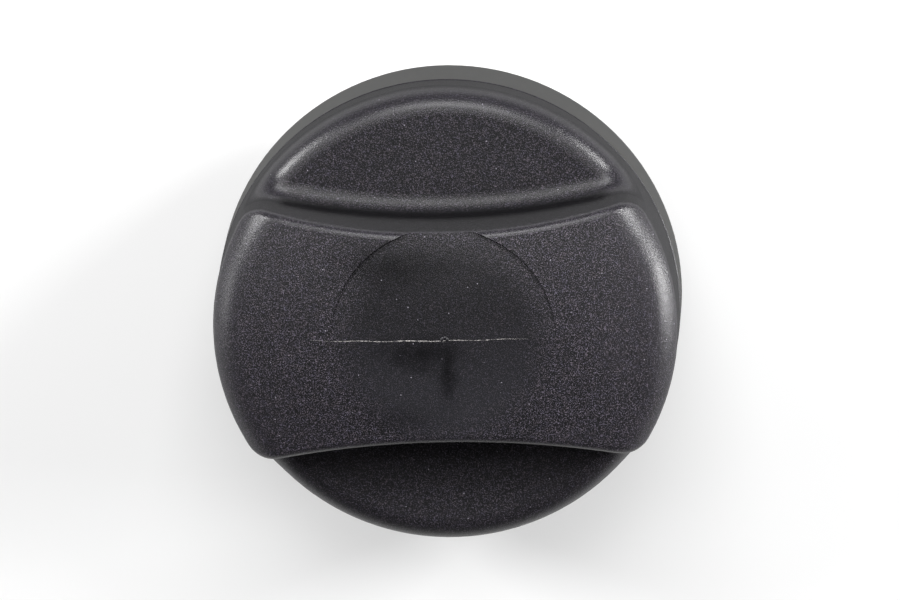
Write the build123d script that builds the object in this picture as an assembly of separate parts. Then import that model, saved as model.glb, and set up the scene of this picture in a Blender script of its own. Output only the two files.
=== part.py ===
from build123d import *
import math
import os

# A screw-in fuel cap: a bow-tie grip cover that turns on a threaded closure through a torque limiter,
# with a pressure and vacuum breather valve inside the plug. Millimetres, +Z up along the cap's axis,
# origin at the centre of the plug's flat end, on which the cap stands.

# Grip cover, outside
rim_radius = 36.0
rim_height = 16.0
rim_edge = 0.5
wall_draft = 3.6
band_height = 11.0
band_step = 0.12
deck_rise = 18.4
crown_rise = 32.0
crown_radius = 120.0
end_roll_width = 4.5
end_roll_drop = 1.6
waist_half_width = 16.3
side_radius = 112.0
side_draft = 2.5
base_fillet = 3.0
shoulder_fillet = 4.0
top_edge_fillet = 1.4
field_radius = 16.4
field_depth = 0.6

# Grip cover, inside
cover_wall = 2.4
pocket_rib = 1.6
pocket_rib_pitch = 9.5
pocket_rib_count = 5
pocket_rib_foot = 1.5
snap_count = 6
snap_span = 24.0
snap_grip = 1.0
snap_height = 1.8
drive_rib_width = 2.0
thrust_rib_width = 2.0
thrust_rib_span = 100.0

# Closure body
plug_radius = 21.2
plug_wall = 3.0
plug_lead = 1.2
flange_height = 22.0
flange_thickness = 3.0
hub_height = 6.4
hub_wall = 2.4
cup_ledge_height = 6.0
cup_ledge_width = 1.6
cup_bead = 0.5
cup_bead_height = 0.6
end_plate = 2.0
end_slot_count = 6
end_slot_inner = 7.5
end_slot_margin = 2.6
end_slot_span = 44.0

# Torque limiter, with its radial sizes as shares of the room between the hub and the skirt
tooth_count = 24
tooth_share = 0.17
ring_height = 4.7
ring_band_share = 0.27
pawl_count = 3
pawl_arm_share = 0.137
pawl_gap_share = 0.137
lug_share = 0.149
pawl_arm_span = 62.0
pawl_root_span = 9.0
pawl_span = 8.0
lug_count = 4
lug_span = 14.0
lug_turn = 45.0

# Seals
seal_width = 5.2
seal_thickness = 4.0
seal_recess = 0.8
seal_groove = 0.4
seal_lip_round = 1.6
o_ring_section = 2.3
o_ring_height = 13.0
o_ring_groove_width = 2.9

# Breather valve, with its main radii as shares of the cup's bore
cup_wall = 4.4
cup_floor = 2.4
cup_top = 29.4
valve_opening_share = 0.677
seat_bead_share = 0.743
seat_bead_width = 1.0
seat_bead_height = 0.8
valve_seal_thickness = 1.5
valve_seal_inner_share = 0.463
plate_share = 0.897
plate_thickness = 1.6
plate_rim = 0.8
plate_rim_height = 1.6
guide_wall = 0.9
guide_height = 1.5
breather_hole_count = 6
breather_hole_radius = 0.8
breather_hole_share = 0.375
lid_thickness = 2.0
lid_ledge = 2.0
lid_lip = 0.4
lid_lip_height = 0.9
lid_spigot = 1.2
lid_spigot_wall = 1.4
lid_hole_count = 6
lid_hole_radius = 1.7
lid_hole_share = 0.37
poppet_share = 0.588
poppet_thickness = 1.2
poppet_bead_width = 1.0
poppet_bead_height = 0.4
poppet_cone_radius = 4.0
poppet_cone_height = 1.4
stem_radius = 1.9
stem_length = 8.6
clip_radius = 4.6
clip_thickness = 1.2
clip_below_tip = 0.5
pressure_spring_share = 0.75
pressure_spring_wire = 1.1
pressure_spring_turns = 4.5
vacuum_spring_radius = 3.5
vacuum_spring_wire = 0.5
vacuum_spring_turns = 5.0

# Clearances
turn_gap = 0.4
rest_gap = 0.3
fit_gap = 0.2
seal_gap = 0.05
stem_gap = 0.08
overlap = 0.5

# Heights, radii and angles that follow from them
deck_z = rim_height + deck_rise
crown_z = rim_height + crown_rise
flange_top = flange_height + flange_thickness
hub_top = flange_top + hub_height
bore_radius = plug_radius - plug_wall
cup_outer_radius = bore_radius - fit_gap
cup_inner_radius = cup_outer_radius - cup_wall
valve_opening_radius = cup_inner_radius * valve_opening_share
seat_bead_radius = cup_inner_radius * seat_bead_share
valve_seal_inner = cup_inner_radius * valve_seal_inner_share
plate_radius = cup_inner_radius * plate_share
valve_seal_outer = plate_radius - fit_gap
breather_hole_circle = cup_inner_radius * breather_hole_share
lid_hole_circle = cup_inner_radius * lid_hole_share
poppet_radius = cup_inner_radius * poppet_share
pressure_spring_radius = cup_inner_radius * pressure_spring_share
seal_top = flange_height + seal_recess
seal_low = seal_top - seal_thickness
seal_inner_radius = plug_radius - seal_groove + fit_gap
seal_outer_radius = seal_inner_radius + seal_width
tooth_pitch = 360 / tooth_count
tooth_root_radius = bore_radius + hub_wall
ring_z = flange_top + rest_gap
ring_top = ring_z + ring_height
cup_floor_top = cup_ledge_height + cup_floor
seat_z = cup_floor_top + seat_bead_height
plate_z = seat_z + valve_seal_thickness
plate_top = plate_z + plate_thickness
lid_top = cup_top - lid_lip_height - seal_gap
lid_z = lid_top - lid_thickness
lid_seat_radius = cup_inner_radius + lid_ledge
stem_tip_z = plate_top + stem_length
clip_z = stem_tip_z - clip_below_tip - clip_thickness
draft_slope = math.tan(math.radians(wall_draft))


def skirt_radius(height, inset=0.0):
    """Radius of the drafted skirt at a height above the plug's end."""
    return rim_radius - (height - rim_height) * draft_slope - inset


flange_radius = skirt_radius(flange_top, cover_wall) - turn_gap
lug_radius = skirt_radius(ring_top, cover_wall) - turn_gap
limiter_room = lug_radius - tooth_root_radius
tooth_depth = limiter_room * tooth_share
pawl_arm_thickness = limiter_room * pawl_arm_share
pawl_arm_gap = limiter_room * pawl_gap_share
ring_outer_radius = lug_radius - limiter_room * lug_share
ring_inner_radius = ring_outer_radius - limiter_room * ring_band_share


def turned(outline, span=360):
    """Solid turned about the cap's axis from a closed outline of radius and height."""
    return revolve(Plane.XZ * make_face(outline), Axis.Z, revolution_arc=span)


def profile(*points):
    """Closed outline through (radius, height) points."""
    return Polyline(*points, close=True)


def ring(inner, outer, low, high):
    """Plain ring about the cap's axis."""
    return turned(profile((inner, low), (outer, low), (outer, high), (inner, high)))


def polar(radius, angle):
    """Point in plan at a radius and an angle in degrees."""
    return (radius * math.cos(math.radians(angle)), radius * math.sin(math.radians(angle)))


def upright(outline, low, high):
    """Prism that stands on a closed plan outline between two heights."""
    return Pos(0, 0, low) * extrude(make_face(outline), amount=high - low, dir=(0, 0, 1))


def sector(inner, outer, start, span, low, high):
    """Part of a ring that covers an angle about the cap's axis."""
    near = CenterArc((0, 0), inner, start, span)
    far = CenterArc((0, 0), outer, start, span)
    return upright([near, Line(near @ 1, far @ 1), far, Line(far @ 0, near @ 0)], low, high)


def round_bar(radius, low, high, place=(0, 0)):
    """Upright cylinder between two heights."""
    return Pos(*place, low) * Cylinder(radius, high - low, align=(Align.CENTER, Align.CENTER, Align.MIN))


def spread(solid, count, first=0.0):
    """Copies of a solid at equal angles about the cap's axis."""
    return [Rot(0, 0, first + 360 / count * i) * solid for i in range(count)]


def coil(radius, wire, turns, low, high):
    """Compression spring between two seats."""
    rise = high - low - wire - 2 * seal_gap
    path = Helix(rise / turns, rise, radius)
    section = Plane(origin=path @ 0, z_dir=path % 0) * Circle(wire / 2)
    return Pos(0, 0, low + wire / 2 + seal_gap) * sweep(section, path, is_frenet=True)


def dome_height(radius, inset):
    """Height of the crown's dome at a radius from the axis."""
    return crown_z - crown_radius + math.sqrt((crown_radius - inset) ** 2 - radius ** 2)


def crowned_blank(inset):
    """The head before its sides are cut: a drafted skirt under a dome that rolls down at its edge."""
    foot_z = rim_height - inset
    band_z = rim_height + band_height
    step = 0.0 if inset else band_step
    edge_z = dome_height(skirt_radius(deck_z, inset), inset) - end_roll_drop
    edge_radius = skirt_radius(edge_z, inset + step)
    roll_radius = edge_radius - end_roll_width
    wall = Polyline((0, foot_z), (skirt_radius(foot_z, inset), foot_z), (skirt_radius(band_z, inset), band_z),
                    (skirt_radius(band_z + band_step, inset + step), band_z + band_step),
                    (edge_radius, edge_z))
    roll_start = (roll_radius, dome_height(roll_radius, inset))
    crown = RadiusArc(roll_start, (0, crown_z - inset), inset - crown_radius)
    roll = TangentArc(crown @ 0, wall @ 1, tangent=-(crown % 0))
    return turned([wall, roll, crown, Line(crown @ 1, wall @ 0)])


def side_cutter(inset):
    """The hollow beside the grip: a drafted disc with a rounded foot, cut as far as the deck."""
    foot_radius = side_radius + inset
    floor = deck_z - inset
    rise = crown_z - floor
    head_radius = foot_radius + rise * math.tan(math.radians(side_draft))
    foot = FilletPolyline((0, floor), (foot_radius, floor), (head_radius, floor + rise), radius=base_fillet)
    back = Polyline(foot @ 1, (0, floor + rise), foot @ 0)
    return Pos(0, waist_half_width + side_radius, 0) * turned([foot, back])


def head_form(inset):
    """Form of the head, or of its hollow when it is set in by the wall."""
    cutter = side_cutter(inset)
    return crowned_blank(inset) - cutter - Rot(0, 0, 180) * cutter


def is_deck_edge(edge):
    """True for the two arcs where the decks meet the skirt."""
    middle = edge @ 0.5
    return abs(middle.Z - deck_z) < seal_gap and math.hypot(middle.X, middle.Y) > flange_radius


def is_waist_edge(edge):
    """True for the long edges where the crown meets the grip's sides."""
    middle = edge @ 0.5
    on_sides = abs(middle.X) < overlap and abs(middle.Y) > waist_half_width / 2
    return on_sides and middle.Z > (deck_z + crown_z) / 2


def make_grip_cover():
    """Hollow moulded cover, with the ribs and ledges that hold the ring and the closure."""
    head = head_form(0)
    head = fillet(head.edges().filter_by(is_deck_edge), shoulder_fillet)
    head = fillet(head.edges().filter_by(is_waist_edge), top_edge_fillet)
    lean = field_depth * crown_radius / waist_half_width
    lift = lean ** 2 / (2 * crown_radius)
    field_floor = Pos(0, -lean, crown_z - crown_radius + lift) * Sphere(crown_radius)
    head -= round_bar(field_radius, deck_z, crown_z + overlap) - field_floor
    cover = head - head_form(cover_wall)
    cover = fillet(cover.edges().filter_by_position(Axis.Z, rim_height, rim_height), rim_edge)

    rib_foot = deck_z - cover_wall + pocket_rib_foot
    rib_core = head_form(cover_wall / 2)
    rib_size = (pocket_rib, 2 * rim_radius, crown_z - rib_foot)
    for i in range(pocket_rib_count):
        x = (i - (pocket_rib_count - 1) / 2) * pocket_rib_pitch
        rib = Pos(x, 0, rib_foot) * Box(*rib_size, align=(Align.CENTER, Align.CENTER, Align.MIN))
        cover += rib & rib_core

    snap_top = flange_height - rest_gap
    snap_low = snap_top - snap_height
    snap_wall = skirt_radius(snap_low, cover_wall / 2)
    snap_tip = flange_radius - snap_grip
    snap = turned(profile((snap_tip, snap_top), (snap_wall, snap_top), (snap_wall, snap_low),
                          (flange_radius, snap_low), (snap_tip, snap_low + snap_grip)), snap_span)
    cover += spread(snap, snap_count, -snap_span / 2)

    deck_under = deck_z - cover_wall + overlap
    rib_inner = ring_outer_radius + rest_gap
    rib_outer = skirt_radius(deck_under, cover_wall / 2)
    lug_half = lug_radius * math.sin(math.radians(lug_span / 2))
    for side in (-1, 1):
        rib_y = side * (lug_half + rest_gap + drive_rib_width / 2)
        rib = Pos((rib_inner + rib_outer) / 2, rib_y, flange_top + rest_gap)
        rib *= Box(rib_outer - rib_inner, drive_rib_width, deck_under - flange_top - rest_gap,
                   align=(Align.CENTER, Align.CENTER, Align.MIN))
        cover += spread(rib, lug_count, lug_turn)

    thrust = sector(ring_outer_radius - thrust_rib_width, ring_outer_radius, 90 - thrust_rib_span / 2,
                    thrust_rib_span, ring_top + rest_gap, deck_under)
    return cover + spread(thrust, 2)


def make_closure_body():
    """Plug, flange and ratchet hub, with the bore that holds the valve."""
    groove_radius = plug_radius - seal_groove
    groove_low = seal_low - rest_gap
    recess_radius = seal_outer_radius + rest_gap
    body = turned(profile((0, 0), (plug_radius - plug_lead, 0), (plug_radius, plug_lead),
                          (plug_radius, groove_low), (groove_radius, groove_low), (groove_radius, seal_top),
                          (recess_radius, seal_top), (recess_radius, flange_height),
                          (flange_radius, flange_height), (flange_radius, flange_top),
                          (tooth_root_radius, flange_top), (tooth_root_radius, hub_top), (0, hub_top)))
    ledge_radius = bore_radius - cup_ledge_width
    bead_radius = bore_radius - cup_bead
    bead_z = cup_top + seal_gap
    body -= turned(profile((0, end_plate), (ledge_radius, end_plate), (ledge_radius, cup_ledge_height),
                           (bore_radius, cup_ledge_height), (bore_radius, bead_z), (bead_radius, bead_z),
                           (bead_radius, bead_z + cup_bead_height), (bore_radius, hub_top), (0, hub_top)))
    end_slot_outer = ledge_radius - end_slot_margin
    slot = sector(end_slot_inner, end_slot_outer, -end_slot_span / 2, end_slot_span,
                  -overlap, end_plate + overlap)
    body -= spread(slot, end_slot_count)
    core = tooth_root_radius - overlap
    tip = tooth_root_radius + tooth_depth
    heel = tooth_pitch - math.degrees(overlap / tooth_root_radius)
    tooth = upright(Polyline(polar(core, 0), polar(tip, 0), polar(tooth_root_radius, heel), polar(core, heel),
                             close=True), flange_top, ring_top)
    return body + spread(tooth, tooth_count)


def make_ratchet_ring():
    """Ring with lugs that the cover drives and sprung pawls that lean on the ratchet hub."""
    band = ring(ring_inner_radius, ring_outer_radius, ring_z, ring_top)
    lug = sector(ring_outer_radius - overlap, lug_radius, -lug_span / 2, lug_span, ring_z, ring_top)
    arm_outer = ring_inner_radius - pawl_arm_gap
    arm_inner = arm_outer - pawl_arm_thickness
    face_angle = -math.degrees(rest_gap / tooth_root_radius)
    arm_start = face_angle - pawl_arm_span
    arm = sector(arm_inner, arm_outer, arm_start, pawl_arm_span, ring_z, ring_top)
    arm += sector(arm_inner, ring_inner_radius + overlap, arm_start, pawl_root_span, ring_z, ring_top)
    toe = tooth_root_radius + rest_gap
    heel = toe + tooth_depth * pawl_span / tooth_pitch
    back_angle = face_angle - pawl_span
    arm += upright(Polyline(polar(arm_inner + overlap, face_angle), polar(toe, face_angle),
                            polar(heel, back_angle), polar(arm_inner + overlap, back_angle), close=True),
                   ring_z, ring_top)
    return band + spread(lug, lug_count, lug_turn) + spread(arm, pawl_count)


def make_neck_seal():
    """Rubber ring under the flange, rounded where it meets the filler neck."""
    seal = ring(seal_inner_radius, seal_outer_radius, seal_low, seal_top)
    return fillet(seal.edges().group_by(Axis.Z)[0], seal_lip_round)


def make_valve_cup():
    """Valve housing with its seat bead, the groove for its ring and the snap lip for its lid."""
    groove_radius = bore_radius - o_ring_section - 2 * seal_gap
    groove_low = o_ring_height - o_ring_groove_width / 2
    groove_high = o_ring_height + o_ring_groove_width / 2
    lip_radius = lid_seat_radius - lid_lip
    bead_inner = seat_bead_radius - seat_bead_width / 2
    bead_outer = seat_bead_radius + seat_bead_width / 2
    return turned(profile((valve_opening_radius, cup_ledge_height), (cup_outer_radius, cup_ledge_height),
                          (cup_outer_radius, groove_low), (groove_radius, groove_low),
                          (groove_radius, groove_high), (cup_outer_radius, groove_high),
                          (cup_outer_radius, cup_top), (lip_radius, cup_top),
                          (lip_radius, cup_top - lid_lip_height), (lid_seat_radius, cup_top - lid_lip_height),
                          (lid_seat_radius, lid_z), (cup_inner_radius, lid_z),
                          (cup_inner_radius, cup_floor_top), (bead_outer, cup_floor_top),
                          (bead_outer, seat_z), (bead_inner, seat_z), (bead_inner, cup_floor_top),
                          (valve_opening_radius, cup_floor_top)))


def make_valve_cup_o_ring():
    """Round rubber ring that seals the cup in the plug's bore."""
    return Pos(0, 0, o_ring_height) * Torus(bore_radius - seal_gap - o_ring_section / 2, o_ring_section / 2)


def make_valve_lid():
    """Lid that snaps into the cup, centres the spring and vents the valve."""
    spigot = pressure_spring_radius - pressure_spring_wire / 2 - rest_gap
    lid = ring(0, lid_seat_radius - seal_gap, lid_z, lid_top)
    lid += ring(spigot - lid_spigot_wall, spigot, lid_z - lid_spigot, lid_z)
    hole = round_bar(lid_hole_radius, lid_z - overlap, lid_top + overlap, (lid_hole_circle, 0))
    return lid - spread(hole, lid_hole_count)


def make_pressure_valve_plate():
    """Spring-loaded plate with a rim for its spring and a guide for the vacuum valve's stem."""
    guide_bore = stem_radius + stem_gap
    guide_radius = guide_bore + guide_wall
    plate = turned(profile((guide_bore, plate_z), (plate_radius, plate_z),
                           (plate_radius, plate_top + plate_rim_height),
                           (plate_radius - plate_rim, plate_top + plate_rim_height),
                           (plate_radius - plate_rim, plate_top), (guide_radius, plate_top),
                           (guide_radius, plate_top + guide_height), (guide_bore, plate_top + guide_height)))
    hole = round_bar(breather_hole_radius, plate_z - overlap, plate_top + overlap, (breather_hole_circle, 0))
    return plate - spread(hole, breather_hole_count)


def make_vacuum_valve():
    """Poppet whose bead closes on the rubber ring from below, on a stem through the plate."""
    bead_outer = poppet_radius
    bead_inner = poppet_radius - poppet_bead_width
    disc_top = seat_z - poppet_bead_height
    disc_low = disc_top - poppet_thickness
    return turned(profile((0, disc_low), (bead_outer, disc_low), (bead_outer, seat_z), (bead_inner, seat_z),
                          (bead_inner, disc_top), (poppet_cone_radius, disc_top),
                          (stem_radius, disc_top + poppet_cone_height), (stem_radius, stem_tip_z),
                          (0, stem_tip_z)))


pieces = {
    "grip_cover": make_grip_cover(),
    "ratchet_ring": make_ratchet_ring(),
    "closure_body": make_closure_body(),
    "neck_seal": make_neck_seal(),
    "valve_cup": make_valve_cup(),
    "valve_cup_o_ring": make_valve_cup_o_ring(),
    "pressure_valve_plate": make_pressure_valve_plate(),
    "pressure_valve_seal": ring(valve_seal_inner, valve_seal_outer, seat_z, plate_z),
    "pressure_spring": coil(pressure_spring_radius, pressure_spring_wire, pressure_spring_turns,
                            plate_top, lid_z),
    "valve_lid": make_valve_lid(),
    "vacuum_valve": make_vacuum_valve(),
    "vacuum_spring": coil(vacuum_spring_radius, vacuum_spring_wire, vacuum_spring_turns, plate_top, clip_z),
    "vacuum_spring_clip": ring(stem_radius + seal_gap, clip_radius, clip_z, clip_z + clip_thickness),
}

os.makedirs("parts", exist_ok=True)
for name, solid in pieces.items():
    export_step(solid, f"parts/{name}.step")
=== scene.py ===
# %% [markdown]
# # Dressing a screw-in fuel cap
# The CAD model already has every piece at its true size: a moulded grip cover, a threaded closure,
# a torque limiter and a small breather valve. This lesson loads those pieces as a fixed frame and
# gives them what CAD leaves out: moulded finishes, a screw thread, the marks of the mould, and light.

# %% Load the CAD frame
import math

import bpy
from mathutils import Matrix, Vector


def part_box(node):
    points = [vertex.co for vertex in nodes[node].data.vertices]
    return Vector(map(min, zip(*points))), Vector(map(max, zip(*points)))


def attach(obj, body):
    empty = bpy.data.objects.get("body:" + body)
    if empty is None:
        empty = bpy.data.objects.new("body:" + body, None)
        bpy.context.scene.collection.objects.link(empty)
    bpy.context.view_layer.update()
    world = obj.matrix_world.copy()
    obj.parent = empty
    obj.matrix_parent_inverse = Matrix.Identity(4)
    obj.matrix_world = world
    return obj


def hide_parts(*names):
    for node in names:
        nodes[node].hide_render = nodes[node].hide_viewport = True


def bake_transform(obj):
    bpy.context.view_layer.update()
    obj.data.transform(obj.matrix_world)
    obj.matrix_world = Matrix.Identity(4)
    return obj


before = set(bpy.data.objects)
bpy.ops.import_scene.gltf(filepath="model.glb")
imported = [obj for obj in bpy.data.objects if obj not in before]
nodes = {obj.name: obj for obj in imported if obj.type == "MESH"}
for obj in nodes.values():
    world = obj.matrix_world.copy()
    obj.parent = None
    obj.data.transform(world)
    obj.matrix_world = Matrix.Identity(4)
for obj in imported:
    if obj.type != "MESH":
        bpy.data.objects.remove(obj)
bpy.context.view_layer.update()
print("CAD pieces:", ", ".join(sorted(nodes)))

# %% [markdown]
# Blender measures in metres, and a fuel cap is drawn in millimetres. One small function turns
# millimetres into metres, so that every size below can be read off the real object.

# %% Millimetres
MM = 0.001


def mm(*sizes):
    """Millimetres as metres."""
    return tuple(size * MM for size in sizes)


cover_low, cover_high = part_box("grip_cover")
crown_height = cover_high.z / MM
print(f"the cover stands from {cover_low.z / MM:.1f} to {crown_height:.1f} mm")

# %% [markdown]
# The photograph looks almost straight down on the cap from about half a metre away, a little from
# the +Y side. Its camera was worked out from the cap's round rim and the corners of its grip, so the
# place and turn below are a fit, and the lens is the one that gives the cap its size in the frame.

# %% Camera
camera_place = mm(17.81, 95.88, 455.31)
camera_turn = (-12.482, 2.006, -1.511)
camera_lens = 115.4

bpy.ops.object.select_all(action="DESELECT")
bpy.ops.object.camera_add(location=camera_place,
                          rotation=[math.radians(angle) for angle in camera_turn])
camera = bpy.context.object
camera.name = "camera"
camera.data.lens = camera_lens
camera.data.clip_start = 0.01
bpy.context.scene.camera = camera
bpy.context.scene.view_settings.view_transform = "Standard"
print("camera at", [round(v, 3) for v in camera.location])

# %% [markdown]
# Colours are written as sRGB hex values, as a colour picker shows them, and Blender wants linear
# ones. Shader trees get long when every node takes three lines, so one function adds a node, sets
# its properties and fills its inputs with numbers, with other nodes or with one of their outputs.

# %% Helpers for materials
def linear(code):
    """Linear RGBA of an sRGB hex colour."""
    channels = [int(code[i:i + 2], 16) / 255 for i in (1, 3, 5)]
    return (*[c / 12.92 if c <= 0.04045 else ((c + 0.055) / 1.055) ** 2.4 for c in channels], 1.0)


def add_node(tree, kind, inputs=None, **settings):
    """A shader node with its settings, its inputs given as values, or as nodes or outputs to link."""
    made = tree.nodes.new(kind)
    for name, value in settings.items():
        setattr(made, name, value)
    for socket, value in (inputs or {}).items():
        if isinstance(value, bpy.types.Node):
            value = value.outputs[0]
        if isinstance(value, bpy.types.NodeSocket):
            tree.links.new(value, made.inputs[socket])
        else:
            made.inputs[socket].default_value = value
    return made


def new_finish(name):
    """A material with its tree, its Principled shader and the piece's own Object coordinates."""
    finish = bpy.data.materials.new(name)
    finish.use_nodes = True
    tree = finish.node_tree
    place = add_node(tree, "ShaderNodeTexCoord").outputs["Object"]
    return finish, tree, tree.nodes["Principled BSDF"], place


def dress(finish, *names):
    """Puts a finish on CAD nodes in place of their plain colours."""
    for name in names:
        nodes[name].data.materials.clear()
        nodes[name].data.materials.append(finish)
    print(finish.name, "on", ", ".join(names))


# %% [markdown]
# The photograph's ground is plain white. The floor takes the cap's soft shadow like any surface, and
# to the camera, and in gloss and glass, it also glows a little, so that it reads as white without
# more light on the cap. The lamps don't reach far, so the glow grows with the distance from the cap.
# The floor is clear from below, so that the plug can be looked at from there.

# %% Floor
floor_size = 12
floor_glow = 0.22
lit_reach, glow_reach = 0.35, 1.4

bpy.ops.object.select_all(action="DESELECT")
bpy.ops.mesh.primitive_plane_add(size=floor_size)
floor = bpy.context.object
floor.name = "floor"

paper, tree, shader, place = new_finish("white_paper_floor")
shader.inputs["Base Color"].default_value = linear("#d4d4d4")
shader.inputs["Roughness"].default_value = 0.9
shader.inputs["Specular IOR Level"].default_value = 0.0
shader.inputs["Emission Color"].default_value = linear("#ffffff")
rays = add_node(tree, "ShaderNodeLightPath").outputs
seen = add_node(tree, "ShaderNodeMath", {0: rays["Is Camera Ray"], 1: rays["Is Glossy Ray"]},
                operation="MAXIMUM")
seen = add_node(tree, "ShaderNodeMath", {0: seen, 1: rays["Is Transmission Ray"]}, operation="MAXIMUM")
away = add_node(tree, "ShaderNodeVectorMath", {0: place}, operation="LENGTH").outputs["Value"]
glow = add_node(tree, "ShaderNodeMapRange", {0: away, 1: lit_reach, 2: glow_reach, 3: floor_glow, 4: 1.0})
glow = add_node(tree, "ShaderNodeMath", {0: seen, 1: glow}, operation="MULTIPLY")
tree.links.new(glow.outputs[0], shader.inputs["Emission Strength"])
below = add_node(tree, "ShaderNodeNewGeometry").outputs["Backfacing"]
clear = add_node(tree, "ShaderNodeBsdfTransparent")
sheet = add_node(tree, "ShaderNodeMixShader", {0: below, 1: shader, 2: clear})
tree.links.new(sheet.outputs[0], tree.nodes["Material Output"].inputs["Surface"])
floor.data.materials.append(paper)
print("floor", [round(v, 2) for v in floor.dimensions])

# %% [markdown]
# The cap was lit softly from above the top of the picture, with a smaller box to either side of that
# and two low ones at its ends, the right one stronger. The side towards the bottom of the picture is
# in shade, which is why the world gives hardly any light.

# %% Light
world = bpy.data.worlds.new("studio")
bpy.context.scene.world = world
world.use_nodes = True
shade = world.node_tree.nodes["Background"]
shade.inputs["Color"].default_value = linear("#ffffff")
shade.inputs["Strength"].default_value = 0.028


def softbox(name, place, size, watts):
    """A square area lamp that faces the cap."""
    bpy.ops.object.select_all(action="DESELECT")
    bpy.ops.object.light_add(type="AREA", location=mm(*place))
    lamp = bpy.context.object
    lamp.name = name
    lamp.data.size = size * MM
    lamp.data.energy = watts
    lean = math.atan2(math.hypot(place[0], place[1]), place[2] - crown_height)
    lamp.rotation_euler = (lean, 0, math.atan2(place[1], place[0]) + math.pi / 2)
    return lamp


lamps = [
    softbox("top_softbox", (0, 410, 590), 380, 3.3),
    softbox("upper_left_softbox", (-540, 310, 380), 180, 4.0),
    softbox("left_softbox", (-640, 0, 220), 180, 0.7),
    softbox("upper_right_softbox", (540, 310, 380), 200, 4.0),
    softbox("right_softbox", (640, 0, 200), 180, 3.2),
]
print("lamps:", [lamp.name for lamp in lamps])

# %% [markdown]
# The cover is moulded in black nylon. Its mould was spark-eroded above the skirt's lower band, which
# leaves a fine grain that glitters under the lamps, and polished below, where the plastic is smooth.
# The round field on the crown is calmer too, most of all towards its upper edge. All of this follows
# the piece's own coordinates: height finds the band, and the distance from the axis finds the field.

# %% Cover plastic: where each finish lies
band_top, band_blur = 27.0, 0.05
field_radius, field_rim, field_fade = 16.4, 0.3, 5.0
field_floor = 44.0
fade_low, fade_high = -14.0, 4.0
least_field = 0.3

cover_finish, tree, shader, place = new_finish("spark_grained_black_nylon")
axis = add_node(tree, "ShaderNodeSeparateXYZ", {0: place}).outputs
grained = add_node(tree, "ShaderNodeMapRange", {
    0: axis["Z"], 1: (band_top - band_blur) * MM, 2: (band_top + band_blur) * MM})
plan = add_node(tree, "ShaderNodeCombineXYZ", {0: axis["X"], 1: axis["Y"]})
radius = add_node(tree, "ShaderNodeVectorMath", {0: plan}, operation="LENGTH").outputs["Value"]
inside = add_node(tree, "ShaderNodeMapRange", {
    0: radius, 1: (field_radius + field_rim) * MM, 2: (field_radius - field_fade) * MM})
on_top = add_node(tree, "ShaderNodeMath", {0: axis["Z"], 1: field_floor * MM}, operation="GREATER_THAN")
upper = add_node(tree, "ShaderNodeMapRange", {
    0: axis["Y"], 1: fade_low * MM, 2: fade_high * MM, 3: least_field, 4: 1.0})
disc = add_node(tree, "ShaderNodeMath", {0: inside, 1: on_top}, operation="MULTIPLY")
field = add_node(tree, "ShaderNodeMath", {0: disc, 1: upper}, operation="MULTIPLY")
print("smooth below", band_top, "mm and calmer within", field_radius, "mm")

# %% [markdown]
# Hands polish a grip where it is rounded, and a pale coat there paints the highlight of those edges.
# The rounded places are those whose surface leans: the Z of the surface's normal is 1 on a flat top
# and 0 on a wall, so a window between them finds every rounded edge. Hollow corners are left out,
# and the side towards the lamps, at +Y, gets the most polish and the brightest painted highlight.

# %% Cover plastic: rubbed edges and their painted highlight
wall_window = (0.30, 0.60)
flat_window = (0.985, 0.90)
corner_low, corner_high = 36.0, 41.0
corner_reach, corner_blur = 30.0, 1.5
lamp_side_from, lamp_side_to = -22.0, 6.0
least_lamp_side = 0.1

facing = add_node(tree, "ShaderNodeNewGeometry").outputs["Normal"]
upright = add_node(tree, "ShaderNodeSeparateXYZ", {0: facing}).outputs["Z"]
off_wall = add_node(tree, "ShaderNodeMapRange", {0: upright, 1: wall_window[0], 2: wall_window[1]},
                    interpolation_type="SMOOTHSTEP")
off_flat = add_node(tree, "ShaderNodeMapRange", {0: upright, 1: flat_window[0], 2: flat_window[1]},
                    interpolation_type="SMOOTHSTEP")
low_down = add_node(tree, "ShaderNodeMapRange", {0: axis["Z"], 1: corner_high * MM, 2: corner_low * MM},
                    interpolation_type="SMOOTHSTEP")
inward = add_node(tree, "ShaderNodeMapRange", {
    0: radius, 1: (corner_reach + corner_blur) * MM, 2: corner_reach * MM})
hollow = add_node(tree, "ShaderNodeMath", {0: low_down, 1: inward}, operation="MULTIPLY")
proud = add_node(tree, "ShaderNodeMath", {0: grained, 1: hollow}, operation="SUBTRACT", use_clamp=True)
# This ramp along Y rises towards the lamps, so the painted edge highlight is brightest on that side.
towards_lamps = add_node(tree, "ShaderNodeMapRange", {
    0: axis["Y"], 1: lamp_side_from * MM, 2: lamp_side_to * MM, 3: least_lamp_side, 4: 1.0})
polish_and_highlight = add_node(tree, "ShaderNodeMath", {0: off_wall, 1: off_flat}, operation="MULTIPLY")
polish_and_highlight = add_node(tree, "ShaderNodeMath", {0: polish_and_highlight, 1: proud}, operation="MULTIPLY")
polish_and_highlight = add_node(tree, "ShaderNodeMath", {0: polish_and_highlight, 1: towards_lamps}, operation="MULTIPLY")
print("rubbed most above y", lamp_side_to, "mm")

# %% [markdown]
# Two narrow places are painted with light and shade. The grip's walls are darkened low down, in the
# hollow corner, as painted shade, and the thin lip that the field leaves at the grip's upper edge is
# painted pale as a highlight.

# %% Cover plastic: painted shade at the foot and painted highlight on the lip
foot_window = (0.75, 0.45)
lip_window = (0.10, 0.32)
lip_start = 10.0

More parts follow.
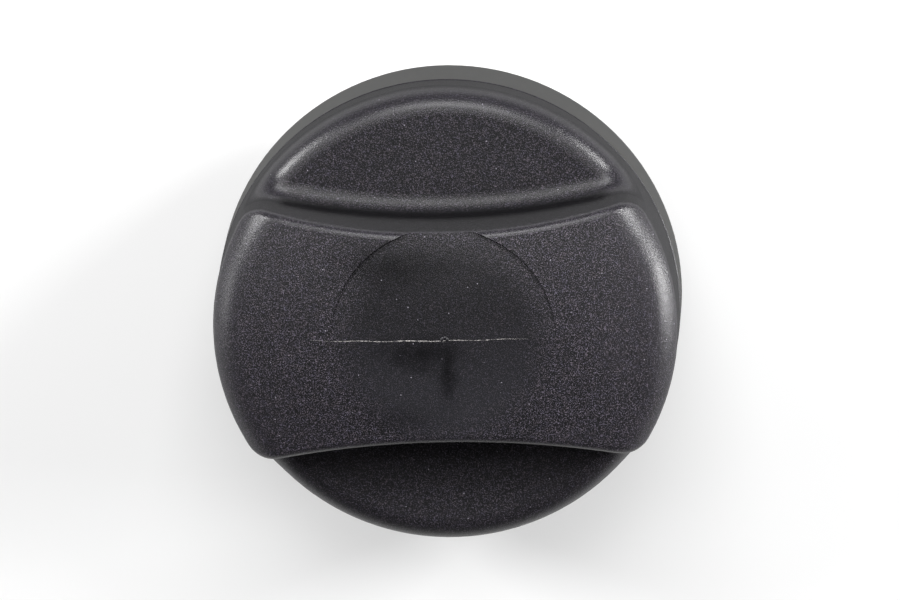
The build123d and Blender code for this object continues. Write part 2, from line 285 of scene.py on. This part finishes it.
on_wall = add_node(tree, "ShaderNodeMapRange", {0: upright, 1: foot_window[0], 2: foot_window[1]},
                   interpolation_type="SMOOTHSTEP")
painted_foot_shade = add_node(tree, "ShaderNodeMath", {0: hollow, 1: on_wall}, operation="MULTIPLY")
past_lip = add_node(tree, "ShaderNodeMath", {0: axis["Y"], 1: lip_start * MM}, operation="GREATER_THAN")
lip = add_node(tree, "ShaderNodeMapRange", {0: upright, 1: lip_window[0], 2: lip_window[1]},
               interpolation_type="SMOOTHSTEP")
for limit in (off_flat, past_lip, disc):
    lip = add_node(tree, "ShaderNodeMath", {0: lip, 1: limit}, operation="MULTIPLY")
print("grease at the foot up to", corner_high, "mm, worn lip past y", lip_start, "mm")

# %% [markdown]
# Real spark-eroded grain is about a tenth of a millimetre, finer than a pixel here, so it is drawn
# twice as coarse to show. One noise lifts the surface. It is calmer in the field and on rubbed edges.

# %% Cover plastic: grain
grain_size, grain_depth = 0.17, 0.045
field_grain, rubbed_grain = 0.5, 0.75

grain = add_node(tree, "ShaderNodeTexNoise", {
    "Vector": place, "Scale": 1 / (grain_size * MM), "Detail": 1.5, "Roughness": 0.65})
calm = add_node(tree, "ShaderNodeMapRange", {0: disc, 3: 1.0, 4: field_grain})
calm = add_node(tree, "ShaderNodeMix", {0: polish_and_highlight, 2: calm, 3: rubbed_grain})
rough_share = add_node(tree, "ShaderNodeMath", {0: calm, 1: grained}, operation="MULTIPLY")
bump = add_node(tree, "ShaderNodeBump", {
    "Strength": rough_share, "Distance": grain_depth * MM, "Height": grain})
tree.links.new(bump.outputs[0], shader.inputs["Normal"])
print("grain", grain_size, "mm wide,", grain_depth, "mm deep")

# %% [markdown]
# The same noise, cut high, picks out the grains that catch the light and paints them pale, as painted
# glints. They show less on walls, on the decks and in the field. A slow second noise turns them a
# little violet or a little warm.

# %% Cover plastic: painted glitter
glint_window = (0.51, 0.84)
lean_window = (0.15, 0.8)
wall_glint, field_glint = 0.2, 0.62
deck_high, grip_low = 36.0, 40.0
deck_glint, grip_glint = 0.75, 1.12
drift_size = 0.9

painted_glint = add_node(tree, "ShaderNodeMapRange", {0: grain, 1: glint_window[0], 2: glint_window[1]})
turned_up = add_node(tree, "ShaderNodeMapRange", {
    0: upright, 1: lean_window[0], 2: lean_window[1], 3: wall_glint, 4: 1.0})
by_height = add_node(tree, "ShaderNodeMapRange", {
    0: axis["Z"], 1: deck_high * MM, 2: grip_low * MM, 3: deck_glint, 4: grip_glint})
veiled = add_node(tree, "ShaderNodeMapRange", {0: disc, 3: 1.0, 4: field_glint})
for share in (rough_share, turned_up, by_height, veiled):
    painted_glint = add_node(tree, "ShaderNodeMath", {0: painted_glint, 1: share}, operation="MULTIPLY")
drift = add_node(tree, "ShaderNodeTexNoise", {"Vector": place, "Scale": 1 / (drift_size * MM), "Detail": 1.0})
tint = add_node(tree, "ShaderNodeMix", {0: drift, 6: linear("#6c687f"), 7: linear("#7c7075")},
                data_type="RGBA")
print("glitter drifts in colour every", drift_size, "mm")

# %% [markdown]
# Handling has left a few dark, greasy smudges on the crown. They are soft ellipses, each with its
# centre, its half-widths and its strength. A Mapping node moves one to its place and divides by its
# half-widths, so that a length of 1 is its edge, and a noise makes that edge ragged.

# %% Cover plastic: smudges
smudges = [
    ((-3.0, -1.9), (7.2, 3.3), 1.0),
    ((0.5, -4.2), (1.9, 6.6), 1.0),
    ((-7.6, 11.2), (9.0, 4.6), 0.9),
    ((-6.0, -12.0), (8.0, 3.2), 0.4),
]
smudge_edge, smudge_heart = 1.75, 0.3
ragged_size = 2.5

ragged = add_node(tree, "ShaderNodeTexNoise", {
    "Vector": place, "Scale": 1 / (ragged_size * MM), "Detail": 3.0})
smudge_and_shade = None
for centre, half, strength in smudges:
    spot = add_node(tree, "ShaderNodeMapping", {
        "Vector": place, "Location": (-centre[0] / half[0], -centre[1] / half[1], 0),
        "Scale": (1 / (half[0] * MM), 1 / (half[1] * MM), 0)})
    reach = add_node(tree, "ShaderNodeVectorMath", {0: spot}, operation="LENGTH").outputs["Value"]
    reach = add_node(tree, "ShaderNodeMath", {0: reach, 1: ragged}, operation="ADD")
    soft = add_node(tree, "ShaderNodeMapRange", {0: reach, 1: smudge_edge, 2: smudge_heart, 4: strength},
                    interpolation_type="SMOOTHSTEP")
    if smudge_and_shade:
        soft = add_node(tree, "ShaderNodeMath", {0: soft, 1: smudge_and_shade}, operation="MAXIMUM")
    smudge_and_shade = soft
smudge_and_shade = add_node(tree, "ShaderNodeMath", {0: smudge_and_shade, 1: on_top}, operation="MULTIPLY")
# The darkened foot joins the smudges here: it is painted shade in the hollow corner, not grease.
smudge_and_shade = add_node(tree, "ShaderNodeMath", {0: smudge_and_shade, 1: painted_foot_shade}, operation="MAXIMUM")
print(len(smudges), "smudges on the crown")

# %% [markdown]
# Dust lies on what faces up. Each cell of a Voronoi pattern has one point, and the few points that
# come within a speck's size of the surface show as specks.

# %% Cover plastic: dust
speck_spacing, speck_size = 2.0, 0.11

speck_edge = speck_size / speck_spacing
specks = add_node(tree, "ShaderNodeTexVoronoi", {"Vector": place, "Scale": 1 / (speck_spacing * MM)})
dusty = add_node(tree, "ShaderNodeMapRange", {
    0: specks.outputs["Distance"], 1: speck_edge, 2: speck_edge / 2})
dusty = add_node(tree, "ShaderNodeMath", {0: dusty, 1: off_wall}, operation="MULTIPLY")
print("specks of", speck_size, "mm")

# %% [markdown]
# The colour is laid on in coats, each through its own mask: the mottled band and the grained black,
# the paler lower field, painted glints, the painted highlight on rubbed edges, grease with the painted
# shade at the foot, the painted highlight on the lip, and dust on top.

# %% Cover plastic: colour
edge_highlight_cover, grease_and_shade_cover = 0.25, 0.85

band_tone = add_node(tree, "ShaderNodeMix", {0: drift, 6: linear("#0b0b0a"), 7: linear("#1e1e1c")},
                     data_type="RGBA")
lower_disc = add_node(tree, "ShaderNodeMath", {0: disc, 1: field}, operation="SUBTRACT")
# pale is the painted highlight on the rounded edges, strongest towards the lamps.
pale = add_node(tree, "ShaderNodeMath", {0: polish_and_highlight, 1: edge_highlight_cover}, operation="MULTIPLY")
grease_and_shade = add_node(tree, "ShaderNodeMath", {0: smudge_and_shade, 1: grease_and_shade_cover}, operation="MULTIPLY")
# The worn lip is a painted highlight along the grip's upper edge.
painted_lip_highlight = add_node(tree, "ShaderNodeMath", {0: lip, 1: grain}, operation="MULTIPLY")
coats = [
    (grained, linear("#111113")),
    (lower_disc, linear("#2c2c30")),
    (painted_glint, tint.outputs[2]),
    (pale, linear("#3c3a40")),
    (grease_and_shade, linear("#080809")),
    (painted_lip_highlight, linear("#8a8790")),
    (dusty, linear("#8f8b96")),
]
tone = band_tone
for mask, coat in coats:
    tone = add_node(tree, "ShaderNodeMix", {0: mask, 6: tone.outputs[2], 7: coat}, data_type="RGBA")
tree.links.new(tone.outputs[2], shader.inputs["Base Color"])
print(len(coats), "coats of colour over the band's own")

# %% [markdown]
# Grain breaks up the gloss of a wall that is seen edge-on, so walls are the most matt. The smooth band
# is less so, then the grained tops and the field, and rubbed edges and grease are the glossiest.

# %% Cover plastic: sheen
wall_matt, grain_matt, band_matt = 0.95, 0.43, 0.64
field_matt, rubbed_matt, greasy_matt = 0.37, 0.27, 0.28
steep_window = (0.45, 0.15)

matt = add_node(tree, "ShaderNodeMapRange", {
    0: upright, 1: steep_window[0], 2: steep_window[1], 3: grain_matt, 4: wall_matt})
matt = add_node(tree, "ShaderNodeMix", {0: grained, 2: band_matt, 3: matt})
for mask, level in ((field, field_matt), (polish_and_highlight, rubbed_matt), (smudge_and_shade, greasy_matt)):
    matt = add_node(tree, "ShaderNodeMix", {0: mask, 2: matt, 3: level})
tree.links.new(matt.outputs[0], shader.inputs["Roughness"])
shader.inputs["IOR"].default_value = 1.46
dress(cover_finish, "grip_cover")

# %% [markdown]
# The closure is smooth black acetal. A moulded part is never quite even: slow waves of sheen cross
# it, and the mould's fine turning marks run round the plug.

# %% Closure plastic
wave_size = 6.0
turning_size, turning_depth = 2.2, 0.03

closure_finish, tree, shader, place = new_finish("moulded_black_acetal")
waves = add_node(tree, "ShaderNodeTexNoise", {"Vector": place, "Scale": 1 / (wave_size * MM), "Detail": 3.0})
sheen = add_node(tree, "ShaderNodeMapRange", {0: waves, 1: 0.3, 2: 0.7, 3: 0.32, 4: 0.48})
tree.links.new(sheen.outputs[0], shader.inputs["Roughness"])
tone = add_node(tree, "ShaderNodeMix", {0: waves, 6: linear("#222224"), 7: linear("#323234")},
                data_type="RGBA")
tree.links.new(tone.outputs[2], shader.inputs["Base Color"])
turning = add_node(tree, "ShaderNodeTexWave", {
    "Vector": place, "Scale": 1 / (turning_size * MM), "Distortion": 0.4}, bands_direction="Z")
bump = add_node(tree, "ShaderNodeBump", {
    "Strength": 0.12, "Distance": turning_depth * MM, "Height": turning})
tree.links.new(bump.outputs[0], shader.inputs["Normal"])
shader.inputs["IOR"].default_value = 1.48
dress(closure_finish, "closure_body")

# %% [markdown]
# The limiter's ring and the breather valve are made in natural acetal and nylon, an ivory white that
# lets a little light into its skin.

# %% Natural plastics
cloud_size = 4.0
valve_pieces = ["valve_cup", "valve_lid", "pressure_valve_plate", "vacuum_valve"]

for finish_name, pale, deep, wearers in (
        ("natural_acetal", "#dcdad2", "#cfccc1", ["ratchet_ring"]),
        ("natural_nylon", "#d2d0c6", "#c4c0b2", valve_pieces)):
    finish, tree, shader, place = new_finish(finish_name)
    cloud = add_node(tree, "ShaderNodeTexNoise", {
        "Vector": place, "Scale": 1 / (cloud_size * MM), "Detail": 4.0})
    tone = add_node(tree, "ShaderNodeMix", {0: cloud, 6: linear(pale), 7: linear(deep)}, data_type="RGBA")
    tree.links.new(tone.outputs[2], shader.inputs["Base Color"])
    sheen = add_node(tree, "ShaderNodeMapRange", {0: cloud, 3: 0.36, 4: 0.5})
    tree.links.new(sheen.outputs[0], shader.inputs["Roughness"])
    shader.inputs["Subsurface Weight"].default_value = 0.08
    shader.inputs["Subsurface Radius"].default_value = mm(1.0, 0.8, 0.6)
    dress(finish, *wearers)

# %% [markdown]
# The seals are nitrile rubber, black and dull, with the dusty bloom that rubber sweats out.

# %% Seal rubber
bloom_size = 1.6
skin_size, skin_depth = 0.3, 0.02

rubber, tree, shader, place = new_finish("nitrile_rubber")
bloom = add_node(tree, "ShaderNodeTexNoise", {
    "Vector": place, "Scale": 1 / (bloom_size * MM), "Detail": 5.0})
tone = add_node(tree, "ShaderNodeMix", {0: bloom, 6: linear("#141414"), 7: linear("#2b2a29")},
                data_type="RGBA")
tree.links.new(tone.outputs[2], shader.inputs["Base Color"])
dull = add_node(tree, "ShaderNodeMapRange", {0: bloom, 3: 0.62, 4: 0.85})
tree.links.new(dull.outputs[0], shader.inputs["Roughness"])
skin = add_node(tree, "ShaderNodeTexNoise", {"Vector": place, "Scale": 1 / (skin_size * MM), "Detail": 2.0})
bump = add_node(tree, "ShaderNodeBump", {"Strength": 0.3, "Distance": skin_depth * MM, "Height": skin})
tree.links.new(bump.outputs[0], shader.inputs["Normal"])
shader.inputs["IOR"].default_value = 1.52
dress(rubber, "neck_seal", "valve_cup_o_ring", "pressure_valve_seal")

# %% [markdown]
# The springs and their clip are drawn stainless wire and pressed strip: bright, and finely mottled.

# %% Spring steel
mottle_size = 0.4

steel, tree, shader, place = new_finish("drawn_spring_steel")
mottle = add_node(tree, "ShaderNodeTexNoise", {
    "Vector": place, "Scale": 1 / (mottle_size * MM), "Detail": 4.0})
tone = add_node(tree, "ShaderNodeMix", {0: mottle, 6: linear("#a9a8a6"), 7: linear("#c9c8c5")},
                data_type="RGBA")
tree.links.new(tone.outputs[2], shader.inputs["Base Color"])
sheen = add_node(tree, "ShaderNodeMapRange", {0: mottle, 3: 0.24, 4: 0.42})
tree.links.new(sheen.outputs[0], shader.inputs["Roughness"])
shader.inputs["Metallic"].default_value = 1.0
dress(steel, "vacuum_spring_clip")

# %% [markdown]
# A spring shortens as its valve moves, and a CAD node is rigid. So both springs are wound again here,
# at the CAD springs' own size: a circle of the wire's size is stood on edge at the coil's radius, a
# Screw modifier carries it round and up, and the two cut ends are closed.

# %% Valve springs
wire_sides = 14
coil_steps = 48


def wind_spring(name, node, wire, turns):
    """A steel coil in a CAD spring's place."""
    low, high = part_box(node)
    radius = (high.x - low.x) / 2 - wire / 2 * MM
    first, last = low.z + wire / 2 * MM, high.z - wire / 2 * MM
    bpy.ops.object.select_all(action="DESELECT")
    bpy.ops.mesh.primitive_circle_add(vertices=wire_sides, radius=wire / 2 * MM,
                                      location=(radius, 0, first), rotation=(math.pi / 2, 0, 0))
    spring = bpy.context.object
    spring.name = name
    bpy.ops.object.transform_apply(location=True, rotation=True, scale=True)
    screw = spring.modifiers.new("screw", "SCREW")
    screw.angle = 2 * math.pi * turns
    screw.screw_offset = last - first
    screw.steps = screw.render_steps = round(coil_steps * turns)
    bpy.ops.object.modifier_apply(modifier="screw")
    bpy.ops.object.mode_set(mode="EDIT")
    bpy.ops.mesh.select_all(action="SELECT")
    bpy.ops.mesh.fill_holes(sides=0)
    bpy.ops.mesh.select_all(action="SELECT")
    bpy.ops.mesh.normals_make_consistent(inside=False)
    bpy.ops.object.mode_set(mode="OBJECT")
    bpy.ops.object.shade_smooth_by_angle(angle=math.radians(50))
    spring.data.materials.append(steel)
    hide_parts(node)
    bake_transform(spring)
    print(name, f"coil radius {radius / MM:.2f} mm, {(high.z - low.z) / MM:.2f} mm long")


wind_spring("pressure_valve_coil", "pressure_spring", wire=1.1, turns=4.5)
wind_spring("vacuum_valve_coil", "vacuum_spring", wire=0.5, turns=5.0)

# %% [markdown]
# The plug screws into the filler neck with a coarse right-hand thread. The CAD plug is its core. The
# ridge starts as one plane stood on edge at the core: its outer edge is pinched to make a trapezium,
# and a Screw modifier carries it round and up. The ends then sink into the core as a moulded thread
# runs out, and a Bevel rounds the crest.

# %% Screw thread
thread_core = 21.0
thread_crest = 23.0
thread_low = 4.6
thread_pitch = 4.4
thread_turns = 2.4
ridge_foot = 2.9
ridge_crest = 1.2
steps_each_turn = 96
run_out = 0.09

steps = round(steps_each_turn * thread_turns)
bpy.ops.object.select_all(action="DESELECT")
bpy.ops.mesh.primitive_plane_add(size=MM, location=mm((thread_core + thread_crest) / 2, 0, thread_low),
                                 rotation=(math.pi / 2, 0, 0))
thread = bpy.context.object
thread.name = "neck_thread"
thread.scale = (thread_crest - thread_core, ridge_foot, 1)
bpy.ops.object.transform_apply(location=True, rotation=True, scale=True)
for vertex in thread.data.vertices:
    if vertex.co.x > (thread_core + thread_crest) / 2 * MM:
        vertex.co.z = (vertex.co.z - thread_low * MM) * ridge_crest / ridge_foot + thread_low * MM
bpy.ops.object.mode_set(mode="EDIT")
bpy.ops.mesh.select_all(action="SELECT")
bpy.ops.mesh.delete(type="ONLY_FACE")
bpy.ops.object.mode_set(mode="OBJECT")
screw = thread.modifiers.new("screw", "SCREW")
screw.angle = 2 * math.pi * thread_turns
screw.screw_offset = thread_pitch * thread_turns * MM
screw.steps = steps
screw.render_steps = steps
bpy.ops.object.modifier_apply(modifier="screw")
print("thread ridge of", len(thread.data.vertices), "points")

# %% Screw thread: ends and crest
corners = 4
least_height = 0.02
crest_rounding = 0.3
sharp_angle = math.radians(40)

for i, vertex in enumerate(thread.data.vertices):
    share = (i // corners) / steps
    height = min(1.0, min(share, 1 - share) / run_out)
    height = height * height * (3 - 2 * height)
    out = math.hypot(vertex.co.x, vertex.co.y)
    kept = (thread_core * MM + (out - thread_core * MM) * max(height, least_height)) / out
    vertex.co.x *= kept
    vertex.co.y *= kept
bpy.ops.object.mode_set(mode="EDIT")
bpy.ops.mesh.select_all(action="SELECT")
bpy.ops.mesh.fill_holes(sides=0)
bpy.ops.mesh.select_all(action="SELECT")
bpy.ops.mesh.normals_make_consistent(inside=False)
bpy.ops.object.mode_set(mode="OBJECT")
rounding = thread.modifiers.new("rounding", "BEVEL")
rounding.width = crest_rounding * MM
rounding.segments = 2
rounding.limit_method = "ANGLE"
rounding.angle_limit = sharp_angle
bpy.ops.object.modifier_apply(modifier="rounding")
bpy.ops.object.shade_smooth_by_angle(angle=sharp_angle)
thread.data.materials.append(closure_finish)
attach(thread, "closure")
print("thread triangles:", sum(len(face.vertices) - 2 for face in thread.data.polygons))

# %% [markdown]
# Where the plastic met in the mould, a hair of flash stands along the middle of the grip, with the
# nub of the gate on the axis. The flash starts as a long, narrow grid. Each point is then dropped on
# to the crown's dome, and the middle row is raised, most of all just beside the gate. Solidify gives
# it a closed underside, sunk in the cover.

# %% Flash line on the crown
crown_radius = 120.0
flash_start, flash_end = -19.4, 12.4
flash_width, flash_height, flash_root = 0.26, 0.07, 0.06
fade_in, fade_out = 6.0, 5.0
thick_place, thick_span = -4.0, 4.0


def on_crown(x, y):
    """Height of the crown's dome over a place in plan, in millimetres."""
    return crown_height - crown_radius + math.sqrt(crown_radius ** 2 - x ** 2 - y ** 2)


bpy.ops.object.select_all(action="DESELECT")
bpy.ops.mesh.primitive_grid_add(x_subdivisions=120, y_subdivisions=2, size=MM)
flash = bpy.context.object
flash.name = "flash_line"
for vertex in flash.data.vertices:
    x = flash_start + (vertex.co.x / MM + 0.5) * (flash_end - flash_start)
    side = vertex.co.y / MM * 2
    end = min(1.0, (x - flash_start) / fade_in, (flash_end - x) / fade_out)
    thick = math.exp(-((x - thick_place) / thick_span) ** 2)
    swell = end * (0.38 + 0.45 * thick + 0.15 * math.sin(x * 5.1 + 1))
    y = side * flash_width / 2 * (0.35 + 0.65 * max(swell, 0)) + 0.05 * math.sin(x * 0.9)
    lift = flash_height * max(swell, 0.1) if abs(side) < 0.1 else -0.02
    vertex.co = mm(x, y, on_crown(x, y) + lift)
under = flash.modifiers.new("under", "SOLIDIFY")
under.thickness = flash_root * MM
under.offset = -1
bpy.ops.object.modifier_apply(modifier="under")
bpy.ops.object.shade_smooth_by_angle(angle=math.radians(60))
print("flash line from", flash_start, "to", flash_end, "mm")

# %% Gate nub
nub_rings = [(0.62, -0.03), (0.50, 0.05), (0.36, 0.08), (0.20, 0.01)]
nub_sides = 28
nub_place = (0.2, 0.05)

bpy.ops.object.select_all(action="DESELECT")
bpy.ops.mesh.primitive_circle_add(vertices=nub_sides, radius=nub_rings[0][0] * MM, fill_type="NGON",
                                  location=mm(*nub_place, crown_height + nub_rings[0][1]))
nub = bpy.context.object
nub.name = "gate_nub"
bpy.ops.object.mode_set(mode="EDIT")
bpy.ops.mesh.select_all(action="SELECT")
for (outer, low), (inner, high) in zip(nub_rings, nub_rings[1:]):
    bpy.ops.mesh.inset(thickness=(outer - inner) * MM, depth=0)
    bpy.ops.transform.translate(value=(0, 0, (high - low) * MM))
bpy.ops.object.mode_set(mode="OBJECT")
bpy.ops.object.transform_apply(location=True, rotation=True, scale=True)
for vertex in nub.data.vertices:
    turn = math.atan2(vertex.co.y, vertex.co.x)
    vertex.co.z += (0.035 * math.sin(3 * turn + 0.5) + 0.02 * math.sin(7 * turn)) * MM
bpy.ops.object.shade_smooth_by_angle(angle=math.radians(50))
print("gate nub", [round(v / MM, 2) for v in nub.dimensions], "mm")

# %% [markdown]
# The flash and the nub are the same nylon as the cover. The nub keeps the cover's finish. The flash is
# drawn paler, a mottled grey.

# %% Flash and nub finish
scuff_size = 0.5

torn, tree, shader, place = new_finish("torn_black_nylon")
scuff = add_node(tree, "ShaderNodeTexNoise", {"Vector": place, "Scale": 1 / (scuff_size * MM), "Detail": 3.0})
tone = add_node(tree, "ShaderNodeMapRange", {0: scuff, 1: 0.38, 2: 0.62})
tone = add_node(tree, "ShaderNodeMix", {0: tone, 6: linear("#2a292b"), 7: linear("#9e9a98")},
                data_type="RGBA")
tree.links.new(tone.outputs[2], shader.inputs["Base Color"])
shader.inputs["Roughness"].default_value = 0.6
flash.data.materials.append(torn)
nub.data.materials.append(cover_finish)
for mark in (flash, nub):
    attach(mark, "cover")
print("marks of the mould ride on the cover")
